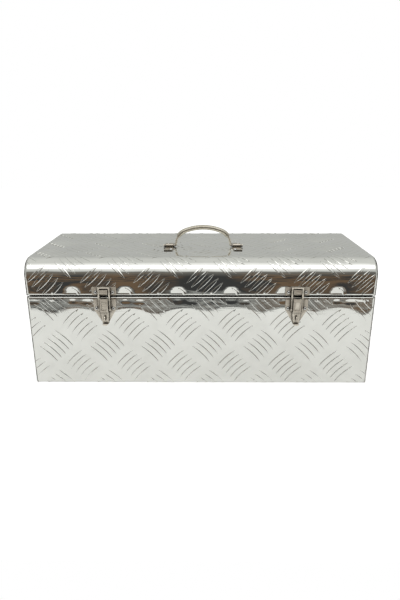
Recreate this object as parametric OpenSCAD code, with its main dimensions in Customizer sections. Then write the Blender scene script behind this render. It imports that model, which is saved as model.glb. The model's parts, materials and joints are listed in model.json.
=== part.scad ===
// Welded aluminium tread plate box with a hinged lid, two draw latches and a carrying bail.
// Millimetres. X runs along the box, the front faces -Y, Z is up.
// The origin is the middle of the underside.

/* [Box] */
// Length over the end panels
box_l = 575; // [460:5:760]
// Depth over the front and back panels
box_d = 228; // [190:2:320]
// Height with the lid shut
box_h = 220; // [190:1:320]
// Depth of the lid, from the rim of the lower box to the top
lid_h = 61; // [52:1:80]
// Thickness of the sheet
sheet_t = 1.5; // [1.2:0.1:2]
// Outside radius of the lid's front bend
lid_bend_r = 30; // [15:1:34]
// Outside radius of the other long bends
fold_r = 4; // [3.5:0.5:6]
// Outside radius of the bend at each rim
rim_fold_r = 2.5; // [2.2:0.1:3]
// Width of the flange turned in at each rim
flange_w = 12; // [10:1:16]
// Radius of the weld bead along the ends
bead_r = 3; // [2:0.5:3]

/* [Seal] */
// Height of the rubber strip on the rim
seal_h = 2; // [1.5:0.1:3]
// Width of the rubber strip
seal_w = 8; // [5:0.5:9]
// Distance of the strip from the outside faces
seal_inset = 2.6; // [2.5:0.1:3]
// Gap between the strip and the shut lid
lid_gap = 0.3; // [0.2:0.1:0.6]

/* [Back hinge] */
// Distance from the end faces to the continuous hinge
hinge_inset = 16.75; // [14:0.25:60]
// Count of knuckles, both leaves together, an odd number
knuckle_n = 19; // [11:2:25]
// Outside radius of a knuckle
knuckle_r = 3.2; // [2.8:0.1:4]
// Radius of the hinge pin
hinge_pin_r = 1.5; // [1.2:0.1:1.8]
// Thickness of a leaf
leaf_t = 1.2; // [1:0.1:1.6]
// Distance from the hinge axis to a leaf's free edge
leaf_w = 25; // [22:1:30]
// Distance from the hinge axis to a row of rivets
leaf_rivet_z = 15; // [12:1:17]
// Gap between neighbouring knuckles
knuckle_gap = 0.3; // [0.2:0.1:0.6]

/* [Rivets] */
// Radius of a rivet's shank
rivet_r = 2; // [1.6:0.1:2.2]
// Radius of a rivet's head
rivet_head_r = 2.8; // [2.5:0.1:2.8]
// Height of a rivet's head
rivet_head_h = 1.4; // [1:0.1:1.8]
// Length of the set tail inside the sheet
rivet_tail_h = 2.2; // [1.5:0.1:3]
// Gap round a rivet's shank
rivet_gap = 0.05; // [0.02:0.01:0.1]

/* [Latches] */
// Distance of each latch from the middle of the box
latch_x = 158; // [90:1:220]
// Thickness of the base plate and the keeper
plate_t = 1.6; // [1.2:0.1:1.8]
// Width of the base plate
base_w = 37; // [35:1:44]
// Height of the base plate's straight part
base_h = 17; // [15:1:20]
// Height of the base plate's tapered part
base_taper_h = 23; // [20:1:26]
// Width of the base plate at its foot
base_foot_w = 11; // [8:1:14]
// Distance from the rim down to the lever's pivot
pivot_drop = 3.5; // [3.5:0.1:6]
// Height of the lever's pivot off the front face
pivot_out = 5.2; // [5:0.1:6]
// Radius of the lever's pivot pin
lever_pin_r = 1.5; // [1.2:0.1:1.7]
// Distance between the lever's two pivots
pivot_pitch = 17.5; // [16:0.5:20]
// Height of the link's pivot off the front face
link_pivot_out = 4.4; // [4.2:0.1:5]
// Radius of the link's pivot pin
link_pin_r = 1.2; // [1:0.1:1.4]
// Thickness of the lever's sheet
lever_t = 1.2; // [1:0.1:1.4]
// Width of the lever over its cheeks
lever_w = 12.7; // [12:0.1:13]
// Height of the tail's outer face off the front face
tail_out = 4.6; // [4.2:0.1:5]
// Width of the tail at its root
tail_w = 13.8; // [12:0.1:14]
// Width of the tail above its rounded tip
tail_tip_w = 10.4; // [9:0.1:12]
// Length of the tail below the crease
tail_l = 25; // [24:0.5:30]
// Outside radius of the curled tip
curl_r = 3.2; // [2.8:0.1:3.4]
// Thickness of the ears that carry the lever
ear_t = 1.2; // [1:0.1:1.4]
// Radius of the ears round the lever's pin
ear_r = 2.15; // [2.1:0.05:2.6]
// Width of each side rail of the link, along X
rail_w = 2.5; // [2:0.1:2.8]
// Depth of each side rail of the link
rail_d = 2.6; // [2.2:0.1:2.8]
// Distance from the middle to a rail's inner side
rail_in = 7.4; // [7.3:0.1:7.8]
// Radius of the link's cross bar
bar_r = 1.4; // [1.2:0.1:1.6]
// Width of the keeper plate
keeper_w = 40; // [36:1:46]
// Height of the keeper plate
keeper_h = 14; // [13:1:16]
// Distance from the lid's rim up to the keeper plate
keeper_rise = 1; // [0.5:0.1:2]
// Width of the keeper's claw
claw_w = 13.2; // [10:0.1:13.4]
// How far the claw stands off the front face
claw_out = 7.2; // [7:0.1:8]
// Height of the claw's ledge above the lid's rim
claw_h = 11.6; // [11:0.1:12.5]
// Gap between the link's bar and the claw's ledge
bar_gap = 0.35; // [0.2:0.05:0.6]
// Distance of the latch rivets from the latch's middle
latch_rivet_x = 14; // [13.9:0.1:15]

/* [Padlock staple] */
// Thickness of the staple
staple_t = 1.5; // [1.2:0.1:1.8]
// Radius of the staple's eye
staple_eye_r = 2.2; // [2:0.1:2.4]
// Metal round the eye
staple_wall = 1.4; // [1.2:0.1:1.6]
// Height of the eye's centre off the front face
staple_out = 7.8; // [7.6:0.1:8.4]
// Distance from the lever's pivot down to the eye
staple_drop = 31.5; // [31:0.5:33]

/* [Handle] */
// Sideways place of the handle on the lid
handle_x = 4; // [0:1:10]
// Distance of the handle's rod behind the front face
handle_back = 98; // [80:1:120]
// Half the distance between the wire's legs at the rod
leg_x = 49.4; // [40:0.2:60]
// Half the distance over the wire's turned-out ends
rod_end_x = 70.5; // [68:0.5:80]
// Radius of the wire
wire_r = 2.1; // [1.8:0.1:2.3]
// Height of the rod's axis above the lid
rod_rise = 3.2; // [3:0.1:4]
// Height of the arch's centreline above the rod
arch_h = 32.6; // [30:0.2:40]
// Inward lean of each leg, in degrees
leg_lean = 12; // [6:1:16]
// Length of a leg's straight part
leg_l = 8; // [6:0.5:9]
// Half angle of the arch's flat top bend
crown_a = 22; // [18:1:28]
// Outside radius of the rolled grip
grip_r = 4.1; // [3.5:0.1:4.6]
// Angle up each shoulder where the grip begins
grip_a = 32; // [24:1:40]
// Radius of the peened ends of the wire
peen_r = 3; // [2.5:0.1:3.1]
// Length of the peened ends
peen_l = 1.6; // [1:0.1:2.2]
// Length of a bracket, front to back
bracket_l = 58; // [50:1:70]
// Width of a bracket's plate
bracket_w = 16; // [15:0.5:16.5]
// Thickness of a bracket
bracket_t = 1.5; // [1.2:0.1:1.8]
// Width of the saddle over the rod
saddle_w = 13; // [10:0.5:14]
// Distance of a bracket's rivets before and behind the rod
bracket_rivet_y = 23; // [18:1:25]
// Sideways stagger of a bracket's rivets
bracket_rivet_x = 4; // [0:0.5:5]

/* [Lid stay] */
// Distance from the hinge axis to each stay pivot
stay_r = 60; // [50:1:66]
// Angle of each stay pivot above or below the rim
stay_a = 20; // [18:1:24]
// Angle to which the stay lets the lid open
lid_open_a = 95; // [80:1:100]
// Width of the stay arm
stay_w = 12; // [11:0.5:14]
// Thickness of the stay arm
stay_t = 2; // [1.5:0.1:2.5]
// Radius of the studs' necks
stay_neck_r = 2.4; // [2:0.1:2.8]
// Radius of the studs' shoulders
stay_post_r = 4; // [3.5:0.1:5]
// Radius of the studs' welded feet
stay_foot_r = 7; // [6:0.5:8]
// Thickness of the studs' feet and heads
stay_foot_t = 2; // [1.5:0.1:2.5]
// Gap between the end flanges and the stay arm
stay_clear = 1.8; // [1.5:0.1:3]

/* [Fits] */
// Radial gap of a pin that turns in its hole
run_gap = 0.05; // [0.03:0.01:0.08]
// Side gap between parts that slide past each other
side_gap = 0.25; // [0.2:0.05:0.3]

/* [Hidden] */
$fn = 48;
half_l = box_l / 2;
half_d = box_d / 2;
wrap_x = half_l - bead_r;
rim_z = box_h - lid_h;
lid_z = rim_z + seal_h + lid_gap;
hinge_y = half_d + knuckle_r + 0.15;
hinge_z = (rim_z + lid_z) / 2;
hinge_l = box_l - 2 * hinge_inset;
knuckle_pitch = hinge_l / knuckle_n;
hinge_bore_r = hinge_pin_r + run_gap;
rivet_hole_r = rivet_r + rivet_gap;
pivot_z = rim_z - pivot_drop;
link_pivot_z = pivot_z - pivot_pitch;
crease_z = link_pivot_z - 2;
base_top_z = pivot_z - 0.5;
base_mid_z = base_top_z - base_h;
base_foot_z = base_mid_z - base_taper_h;
base_rivet_z = base_top_z - 15.3;
cheek_x = lever_w / 2 - lever_t;
ear_x = cheek_x - side_gap - ear_t;
lever_out = pivot_out + ear_r + side_gap + lever_t;
tip_z = crease_z - tail_l;
staple_z = pivot_z - staple_drop;
staple_half = staple_eye_r + staple_wall;
slot_gap = 0.8;
claw_t = 1.5;
ledge_z = lid_z + claw_h;
bar_out = plate_t + bar_r + 0.4;
bar_z = ledge_z + bar_gap + bar_r;
keeper_rivet_z = lid_z + 6.2;
rod_z = box_h + rod_rise;
rod_y = handle_back - half_d;
saddle_x = (leg_x + rod_end_x) / 2;
shoulder_r = (arch_h - leg_l * cos(leg_lean)
    - (leg_x - leg_l * sin(leg_lean)) * (1 - cos(crown_a)) / sin(crown_a))
    / (cos(crown_a) - sin(leg_lean)
    + (1 - cos(crown_a)) * (1 - cos(leg_lean) / sin(crown_a)));
shoulder = [leg_x - leg_l * sin(leg_lean) - shoulder_r * cos(leg_lean),
    leg_l * cos(leg_lean) - shoulder_r * sin(leg_lean)];
crown_r = shoulder_r + shoulder[0] / sin(crown_a);
// Step in radius, and lap, where two stretches of the wire or the grip meet
wire_step = 0.02;
wire_lap = 0.4;
crown_half = crown_a + wire_lap / crown_r * 180 / PI;
stay_x = half_l - flange_w - stay_clear - stay_t;
stay_y = hinge_y - stay_r * cos(stay_a);
stay_lid_z = hinge_z + stay_r * sin(stay_a);
stay_body_z = hinge_z - stay_r * sin(stay_a);
chord_shut = 2 * stay_r * sin(stay_a);
chord_open = 2 * stay_r * sin(stay_a + lid_open_a / 2);
sheet_colour = "Gainsboro";
nickel_colour = "DarkKhaki";
steel_colour = "Silver";

// Extrudes a depth-height outline along X
module along_x(x0, x1) {
    translate([x0, 0, 0]) rotate([90, 0, 90]) linear_extrude(x1 - x0) children();
}

// Extrudes a length-height outline out of the front face, from height u0 to u1
module out_of_front(u0, u1) {
    translate([0, -u0, 0]) rotate([90, 0, 0]) linear_extrude(u1 - u0) children();
}

// Depth-height outline given by heights off the front face
module side_view() {
    mirror([1, 0]) children();
}

// Rectangle with its own radius at each corner: front low, back low, back top, front top
module panel_section(y0, y1, z0, z1, r) {
    corner = [[y0, z0], [y1, z0], [y1, z1], [y0, z1]];
    inward = [[1, 1], [-1, 1], [-1, -1], [1, -1]];
    polygon([for (c = [0:3]) each
        r[c] <= 0 ? [corner[c]]
        : c % 2 == 0 ? [corner[c] + [0, inward[c][1] * r[c]], corner[c] + [inward[c][0] * r[c], 0]]
        : [corner[c] + [inward[c][0] * r[c], 0], corner[c] + [0, inward[c][1] * r[c]]]]);
    for (c = [0:3]) if (r[c] > 0)
        translate(corner[c] + inward[c] * r[c]) circle(r[c], $fn = 96);
}

// Bent sheet: the outline less the same outline one sheet thickness in
module sheet_section(z0, z1, r) {
    t = sheet_t;
    difference() {
        panel_section(-half_d, half_d, z0, z1, r);
        panel_section(t - half_d, half_d - t, z0 + t, z1 - t, [for (v = r) v - t]);
    }
}

// Blind rivet on a face at z = 0 that points up, through a stack of sheets
module rivet(stack) {
    color(steel_colour) difference() {
        union() {
            cylinder(r1 = rivet_head_r, r2 = 0.62 * rivet_head_r, h = rivet_head_h);
            translate([0, 0, -stack - rivet_tail_h]) cylinder(r = rivet_r, h = stack + rivet_tail_h);
            translate([0, 0, -stack - rivet_tail_h]) cylinder(r = 1.3 * rivet_r, h = rivet_tail_h);
        }
        translate([0, 0, rivet_head_h / 3]) cylinder(r = 0.4 * rivet_r, h = rivet_head_h);
    }
}

// Places its child at each rivet of one hinge leaf, pointing back
module at_leaf_rivets(first, z) {
    for (i = [first:2:knuckle_n - 1])
        translate([(i + 0.5) * knuckle_pitch - hinge_l / 2, half_d, z]) rotate([-90, 0, 0]) children();
}

// Places its child at a latch, pointing out of the front face
module at_latch_rivets(side, z) {
    for (s = [-1, 1])
        translate([side * latch_x + s * latch_rivet_x, -half_d, z]) rotate([90, 0, 0]) children();
}

// Places its child at each handle rivet, pointing up
module at_handle_rivets() {
    for (side = [-1, 1], s = [-1, 1])
        translate([handle_x + side * (saddle_x + s * bracket_rivet_x),
            rod_y + s * bracket_rivet_y, box_h]) children();
}

// Drill for one rivet through the sheet under a face at z = 0
module rivet_drill() {
    translate([0, 0, -2 * sheet_t]) cylinder(r = rivet_hole_r, h = 6 * sheet_t);
}

// Body sheets

// Flange stubs that carry a rim flange on to the end panel's fold
module flange_stub(z) {
    for (s = [-1, 1])
        translate([0, s * (half_d - (bead_r + flange_w) / 2), z + sheet_t / 2])
            cube([2 * (half_l - rim_fold_r), flange_w - bead_r, sheet_t], center = true);
}

// One sheet bent to the front, bottom and back, with a flange turned in at the top
module body_shell() {
    color(sheet_colour) difference() {
        union() {
            along_x(-wrap_x, wrap_x) difference() {
                sheet_section(0, rim_z, [fold_r, fold_r, rim_fold_r, rim_fold_r]);
                translate([flange_w - half_d, rim_z / 2]) square([box_d - 2 * flange_w, rim_z]);
            }
            flange_stub(rim_z - sheet_t);
        }
        at_leaf_rivets(0, hinge_z - leaf_rivet_z) rivet_drill();
        for (side = [-1, 1]) at_latch_rivets(side, base_rivet_z) rivet_drill();
    }
}

// One sheet bent to the lid's front, top and back, with a flange turned in at the bottom
module lid_shell() {
    color(sheet_colour) difference() {
        union() {
            along_x(-wrap_x, wrap_x) difference() {
                sheet_section(lid_z, box_h, [rim_fold_r, rim_fold_r, fold_r, lid_bend_r]);
                translate([flange_w - half_d, lid_z - rim_z / 2 + sheet_t + 1])
                    square([box_d - 2 * flange_w, rim_z / 2]);
            }
            flange_stub(lid_z);
        }
        at_leaf_rivets(1, hinge_z + leaf_rivet_z) rivet_drill();
        for (side = [-1, 1]) at_latch_rivets(side, keeper_rivet_z) rivet_drill();
        at_handle_rivets() rivet_drill();
    }
}

// Fold at the rim of a right-hand end panel, metal below z = 0
module end_fold() {
    r = rim_fold_r;
    rotate([90, 0, 0]) translate([0, 0, bead_r - half_d]) linear_extrude(box_d - 2 * bead_r)
        translate([half_l - r, -r]) intersection() {
            difference() {
                circle(r, $fn = 96);
                circle(r - sheet_t, $fn = 96);
            }
            square(2 * r);
        }
    translate([half_l - flange_w, flange_w - half_d, -sheet_t])
        cube([flange_w - r, box_d - 2 * flange_w, sheet_t]);
}

// Right-hand end panel of the body, set in between the bent sheet's edges
module body_end() {
    color(sheet_colour) union() {
        along_x(half_l - sheet_t, half_l)
            panel_section(bead_r - half_d, half_d - bead_r, bead_r, rim_z - rim_fold_r,
                [fold_r - bead_r, fold_r - bead_r, 0, 0]);
        translate([0, 0, rim_z]) end_fold();
    }
}

// Right-hand end panel of the lid
module lid_end() {
    color(sheet_colour) union() {
        along_x(half_l - sheet_t, half_l)
            panel_section(bead_r - half_d, half_d - bead_r, lid_z + rim_fold_r, box_h - bead_r,
                [0, 0, fold_r - bead_r, lid_bend_r - bead_r]);
        translate([0, 0, lid_z]) mirror([0, 0, 1]) end_fold();
    }
}

// Weld beads

// Quarter round of a bead
module bead_section() {
    intersection() {
        circle(bead_r);
        square(bead_r);
    }
}

// Upright bead at the front (-1) or back (1) of the right-hand end
module bead_upright(s, z0, z1) {
    translate([wrap_x, s * (half_d - bead_r), z0]) rotate([0, 0, s < 0 ? -90 : 0])
        linear_extrude(z1 - z0) bead_section();
}

// Level bead along the right-hand end's bottom (-1) or top (1) edge
module bead_level(s, y0, y1, z) {
    translate([wrap_x, s < 0 ? y0 : y1, z]) rotate([-s * -90, 0, 0])
        linear_extrude(y1 - y0) bead_section();
}

// Bead round a bend of the sheet, a quarter turn from the given angle
module bead_bend(y, z, r, turn) {
    translate([wrap_x, y, z]) rotate([90, 0, 90]) rotate([0, 0, turn])
        rotate_extrude(angle = 90) translate([r - bead_r, 0]) bead_section();
}

// Beads of the body's right-hand end
module body_weld() {
    top = rim_z - rim_fold_r / 2;
    color("DarkGray") union() {
        bead_upright(-1, fold_r, top);
        bead_upright(1, fold_r, top);
        bead_bend(fold_r - half_d, fold_r, fold_r, 180);
        bead_bend(half_d - fold_r, fold_r, fold_r, 270);
        bead_level(-1, fold_r - half_d, half_d - fold_r, bead_r);
    }
}

// Beads of the lid's right-hand end
module lid_weld() {
    bottom = lid_z + rim_fold_r / 2;
    color("DarkGray") union() {
        bead_upright(-1, bottom, box_h - lid_bend_r);
        bead_upright(1, bottom, box_h - fold_r);
        bead_bend(lid_bend_r - half_d, box_h - lid_bend_r, lid_bend_r, 90);
        bead_bend(half_d - fold_r, box_h - fold_r, fold_r, 0);
        bead_level(1, lid_bend_r - half_d, half_d - fold_r, box_h - bead_r);
    }
}

// Rubber strip glued round the body's rim
module rim_seal() {
    color("Black") translate([0, 0, rim_z + seal_h / 2]) difference() {
        cube([box_l - 2 * seal_inset, box_d - 2 * seal_inset, seal_h], center = true);
        cube([box_l - 2 * (seal_inset + seal_w), box_d - 2 * (seal_inset + seal_w), 2 * seal_h],
            center = true);
    }
}

// Back hinge

// Lower leaf with the knuckles from the given first one, hinge axis along X at z = 0
module hinge_leaf(first) {
    edge = knuckle_r + 0.4;
    difference() {
        union() {
            translate([-hinge_l / 2, half_d, -leaf_w]) cube([hinge_l, leaf_t, leaf_w - edge]);
            for (i = [first:2:knuckle_n - 1])
                translate([i * knuckle_pitch - hinge_l / 2 + knuckle_gap / 2, 0, 0]) {
                    translate([0, half_d, -edge])
                        cube([knuckle_pitch - knuckle_gap, leaf_t, edge]);
                    translate([0, hinge_y, 0]) rotate([0, 90, 0])
                        cylinder(r = knuckle_r, h = knuckle_pitch - knuckle_gap);
                }
        }
        translate([-hinge_l / 2 - 1, hinge_y, 0]) rotate([0, 90, 0])
            cylinder(r = hinge_bore_r, h = hinge_l + 2);
        at_leaf_rivets(first, -leaf_rivet_z) cylinder(r = rivet_hole_r, h = 3 * leaf_t, center = true);
    }
}

// Leaf on the body's back
module hinge_leaf_body() {
    color(steel_colour) translate([0, 0, hinge_z]) hinge_leaf(0);
}

// Leaf on the lid's back
module hinge_leaf_lid() {
    color(steel_colour) translate([0, 0, hinge_z]) mirror([0, 0, 1]) hinge_leaf(1);
}

// Pin through all the knuckles
module hinge_pin() {
    color(steel_colour) translate([-hinge_l / 2, hinge_y, hinge_z]) rotate([0, 90, 0])
        cylinder(r = hinge_pin_r, h = hinge_l);
}

// Row of rivets of one leaf
module hinge_rivets(first, z) {
    at_leaf_rivets(first, z) translate([0, 0, leaf_t]) rivet(leaf_t + sheet_t);
}

// Latches, drawn with the latch's middle at X = 0 and the front face at Y = 0

// Moves a latch piece to the left (-1) or right (1) latch
module at_latch(side) {
    translate([side * latch_x, -half_d, 0]) children();
}

// Base plate with its two ears and the padlock staple
module latch_base() {
    half = base_w / 2;
    foot = base_foot_w / 2;
    color(nickel_colour) difference() {
        union() {
            out_of_front(0, plate_t) {
                polygon([[-half, base_top_z], [half, base_top_z], [half, base_mid_z],
                    [foot, base_foot_z], [-foot, base_foot_z], [-half, base_mid_z]]);
                translate([0, base_foot_z]) circle(foot);
            }
            for (s = [-1, 1])
                along_x(s * (ear_x + ear_t / 2) - ear_t / 2, s * (ear_x + ear_t / 2) + ear_t / 2)
                    side_view() {
                        translate([pivot_out, pivot_z]) circle(ear_r);
                        translate([plate_t - 0.5, pivot_z - 4.5]) square([pivot_out - plate_t + 1.8, 4.5]);
                    }
            along_x(-staple_t / 2, staple_t / 2) side_view() {
                translate([staple_out, staple_z]) circle(staple_half);
                translate([plate_t - 0.5, staple_z - staple_half])
                    square([staple_out - plate_t + 0.5, 2 * staple_half]);
            }
        }
        translate([-base_w / 2, -pivot_out, pivot_z]) rotate([0, 90, 0])
            cylinder(r = lever_pin_r, h = base_w);
        translate([-5, -staple_out, staple_z]) rotate([0, 90, 0]) cylinder(r = staple_eye_r, h = 10);
        for (s = [-1, 1]) translate([s * latch_rivet_x, 0, base_rivet_z]) rotate([90, 0, 0])
            cylinder(r = rivet_hole_r, h = 3 * plate_t, center = true);
    }
}

// Lever: channel with two pierced cheeks, a step in to the tail and a curled tip
module latch_lever() {
    curl_out = tail_out - lever_t + curl_r;
    curl_z = tip_z + curl_r;
    color(nickel_colour) difference() {
        union() {
            along_x(-lever_w / 2, lever_w / 2) side_view()
                translate([lever_out - lever_t, crease_z])
                    square([lever_t, pivot_z + 2 - crease_z]);
            for (s = [-1, 1])
                along_x(s * (cheek_x + lever_t / 2) - lever_t / 2,
                    s * (cheek_x + lever_t / 2) + lever_t / 2) side_view() {
                        translate([pivot_out, pivot_z]) circle(2.9);
                        translate([link_pivot_out, link_pivot_z]) circle(2.1);
                        polygon([[pivot_out - 2.9, pivot_z], [link_pivot_out - 2.1, link_pivot_z],
                            [link_pivot_out, link_pivot_z - 2.1],
                            [lever_out - lever_t / 2, crease_z],
                            [lever_out - lever_t / 2, pivot_z + 2], [pivot_out, pivot_z + 2.9]]);
                    }
            intersection() {
                along_x(-tail_w / 2, tail_w / 2) side_view() {
                    translate([tail_out - lever_t, crease_z - lever_t])
                        square([lever_out - tail_out + lever_t, lever_t]);
                    translate([tail_out - lever_t, curl_z]) square([lever_t, crease_z - curl_z]);
                    difference() {
                        translate([curl_out, curl_z]) circle(curl_r);
                        translate([curl_out, curl_z]) circle(curl_r - lever_t);
                        translate([curl_out - 2 * curl_r, curl_z]) square(4 * curl_r);
                    }
                }
                out_of_front(0, 2 * lever_out) {
                    polygon([[-tail_w / 2, crease_z + 1], [tail_w / 2, crease_z + 1],
                        [tail_tip_w / 2, tip_z + tail_tip_w / 2],
                        [-tail_tip_w / 2, tip_z + tail_tip_w / 2]]);
                    translate([0, tip_z + tail_tip_w / 2]) circle(tail_tip_w / 2);
                }
            }
        }
        translate([-lever_w, -pivot_out, pivot_z]) rotate([0, 90, 0])
            cylinder(r = lever_pin_r + run_gap, h = 2 * lever_w);
        translate([-lever_w, -link_pivot_out, link_pivot_z]) rotate([0, 90, 0])
            cylinder(r = link_pin_r, h = 2 * lever_w);
        translate([-staple_t / 2 - slot_gap / 2, -tail_out - 1, staple_z - staple_half - slot_gap])
            cube([staple_t + slot_gap, lever_t + 2, 2 * (staple_half + slot_gap)]);
        translate([-lever_w / 3, -lever_out - 1, link_pivot_z + 1])
            cube([2 * lever_w / 3, 1 + lever_t / 3, pivot_pitch - 4]);
    }
}

// Pin through the base's ears and the lever's cheeks, headed at both ends
module lever_pin() {
    head_x = lever_w / 2 + side_gap / 2;
    color(nickel_colour) translate([0, -pivot_out, pivot_z]) rotate([0, 90, 0]) union() {
        cylinder(r = lever_pin_r, h = 2 * head_x + 1, center = true);
        for (s = [-1, 1]) translate([0, 0, s * (head_x + 0.3)])
            cylinder(r = lever_pin_r + 0.8, h = 0.6, center = true);
    }
}

// Draw link: two rails with eyes, joined by the cross bar that hooks over the claw
module draw_link() {
    color(nickel_colour) difference() {
        union() {
            for (s = [-1, 1])
                along_x(s * (rail_in + rail_w / 2) - rail_w / 2,
                    s * (rail_in + rail_w / 2) + rail_w / 2) side_view() {
                        translate([link_pivot_out, link_pivot_z]) circle(2.4);
                        polygon([[link_pivot_out - rail_d / 2, link_pivot_z],
                            [link_pivot_out + rail_d / 2, link_pivot_z],
                            [bar_out + rail_d / 2, bar_z], [bar_out - rail_d / 2, bar_z]]);
                        translate([bar_out, bar_z]) circle(bar_r);
                    }
            translate([-rail_in - rail_w / 2, -bar_out, bar_z]) rotate([0, 90, 0])
                cylinder(r = bar_r, h = 2 * rail_in + rail_w);
        }
        translate([-base_w / 2, -link_pivot_out, link_pivot_z]) rotate([0, 90, 0])
            cylinder(r = link_pin_r + run_gap, h = base_w);
    }
}

// Pin through the lever's cheeks and the link's eyes, headed at both ends
module link_pin() {
    head_x = rail_in + rail_w + side_gap / 2;
    color(nickel_colour) translate([0, -link_pivot_out, link_pivot_z]) rotate([0, 90, 0]) union() {
        cylinder(r = link_pin_r, h = 2 * head_x + 1, center = true);
        for (s = [-1, 1]) translate([0, 0, s * (head_x + 0.4)])
            cylinder(r = link_pin_r + 0.8, h = 0.8, center = true);
    }
}

// Keeper plate with a claw folded out of its middle
module keeper() {
    z0 = lid_z + keeper_rise;
    color(nickel_colour) difference() {
        union() {
            out_of_front(0, plate_t) translate([-keeper_w / 2, z0]) square([keeper_w, keeper_h]);
            along_x(-claw_w / 2, claw_w / 2) side_view() difference() {
                polygon([[plate_t - 0.4, z0], [plate_t + 1, z0], [claw_out, z0 + 3.4],
                    [claw_out, ledge_z - 0.3], [plate_t - 0.4, ledge_z]]);
                polygon([[-1, z0 + claw_t], [plate_t + 0.4, z0 + claw_t],
                    [claw_out - claw_t, z0 + 3.4 + claw_t / 2],
                    [claw_out - claw_t, ledge_z - claw_t], [-1, ledge_z - claw_t]]);
            }
        }
        for (s = [-1, 1]) translate([s * latch_rivet_x, 0, keeper_rivet_z]) rotate([90, 0, 0])
            cylinder(r = rivet_hole_r, h = 3 * plate_t, center = true);
    }
}

// Rivets of a latch plate
module latch_rivets(side, z) {
    at_latch_rivets(side, z) translate([0, 0, plate_t]) rivet(plate_t + sheet_t);
}

// Handle, drawn with the rod's axis along X through the origin

// Moves a handle piece to its place on the lid
module at_handle() {
    translate([handle_x, rod_y, rod_z]) children();
}

// Sweeps a section round an arc that stands in the X-Z plane
module arc_sweep(centre, r, a0, a1) {
    translate([centre[0], 0, centre[1]]) rotate([90, 0, 0]) rotate([0, 0, a0])
        rotate_extrude(angle = a1 - a0) translate([r, 0]) children();
}

// Wire: rod ends, leaning legs, shoulders and crown in one piece
module handle_bail() {
    color(nickel_colour) at_handle() union() {
        arc_sweep([0, arch_h - crown_r], crown_r, 90 - crown_half, 90 + crown_half)
            circle(wire_r - 2 * wire_step);
        for (side = [0, 1]) mirror([side, 0, 0]) {
            arc_sweep(shoulder, shoulder_r, leg_lean, 90 - crown_a) circle(wire_r - wire_step);
            translate([leg_x, 0, 0]) {
                rotate([0, -leg_lean, 0]) cylinder(r = wire_r, h = leg_l + wire_lap);
                sphere(wire_r + wire_step);
                rotate([0, 90, 0]) cylinder(r = wire_r, h = rod_end_x - leg_x);
            }
            translate([rod_end_x - peen_l, 0, 0]) rotate([0, 90, 0]) cylinder(r = peen_r, h = peen_l);
        }
    }
}

// Section of the rolled sheet sleeve, thinned on both sides by the given step
module grip_section(step = 0) {
    difference() {
        circle(grip_r - step);
        circle(wire_r + run_gap + step);
    }
}

// Sleeve rolled round the wire over the crown and both shoulders
module handle_grip() {
    color(steel_colour) at_handle() union() {
        arc_sweep([0, arch_h - crown_r], crown_r, 90 - crown_half, 90 + crown_half) grip_section();
        for (side = [0, 1]) mirror([side, 0, 0])
            arc_sweep(shoulder, shoulder_r, grip_a, 90 - crown_a) grip_section(wire_step);
    }
}

// Bracket plate with a saddle that bridges the rod
module handle_bracket(side) {
    bore = wire_r + run_gap;
    arch = bore + bracket_t;
    cx = handle_x + side * saddle_x;
    color(nickel_colour) difference() {
        union() {
            translate([cx, rod_y, box_h + bracket_t / 2])
                cube([bracket_w, bracket_l, bracket_t], center = true);
            along_x(cx - saddle_w / 2, cx + saddle_w / 2) {
                translate([rod_y, rod_z]) circle(arch);
                translate([rod_y - arch, box_h]) square([2 * arch, rod_rise]);
            }
        }
        along_x(cx - bracket_w, cx + bracket_w) {
            translate([rod_y, rod_z]) circle(bore);
            translate([rod_y - bore, box_h - 1]) square([2 * bore, rod_rise + 1]);
        }
        at_handle_rivets() cylinder(r = rivet_hole_r, h = 3 * bracket_t, center = true);
    }
}

// Four rivets of the two brackets
module handle_rivets() {
    at_handle_rivets() translate([0, 0, bracket_t]) rivet(bracket_t + sheet_t);
}

// Lid stay

// Flat arm that hangs from the lid's stud and slides over the body's stud
module stay_arm() {
    far = chord_open + stay_neck_r + 5;
    near = chord_shut - 0.2;
    end = chord_open + 0.2;
    hole = stay_neck_r + run_gap;
    color(steel_colour) translate([0, stay_y, stay_lid_z]) along_x(stay_x, stay_x + stay_t)
        difference() {
            union() {
                circle(stay_w / 2);
                translate([0, -far]) circle(stay_w / 2);
                translate([-stay_w / 2, -far]) square([stay_w, far]);
            }
            circle(hole);
            translate([0, -near]) circle(hole + 0.1);
            translate([0, -end]) circle(hole + 0.1);
            translate([-hole - 0.1, -end]) square([2 * hole + 0.2, end - near]);
        }
}

// Shouldered stud welded to the right-hand end panel's inner face
module stay_stud(z) {
    inner_x = half_l - sheet_t;
    shoulder_x = stay_x + stay_t + 0.5;
    head_x = stay_x - 0.4;
    color(steel_colour) translate([0, stay_y, z]) rotate([0, 90, 0]) union() {
        translate([0, 0, inner_x - stay_foot_t]) cylinder(r = stay_foot_r, h = stay_foot_t);
        translate([0, 0, shoulder_x]) cylinder(r = stay_post_r, h = inner_x - shoulder_x);
        translate([0, 0, head_x]) cylinder(r = stay_neck_r, h = shoulder_x - head_x + 1);
        translate([0, 0, head_x - stay_foot_t]) cylinder(r = stay_post_r, h = stay_foot_t);
    }
}

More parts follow.
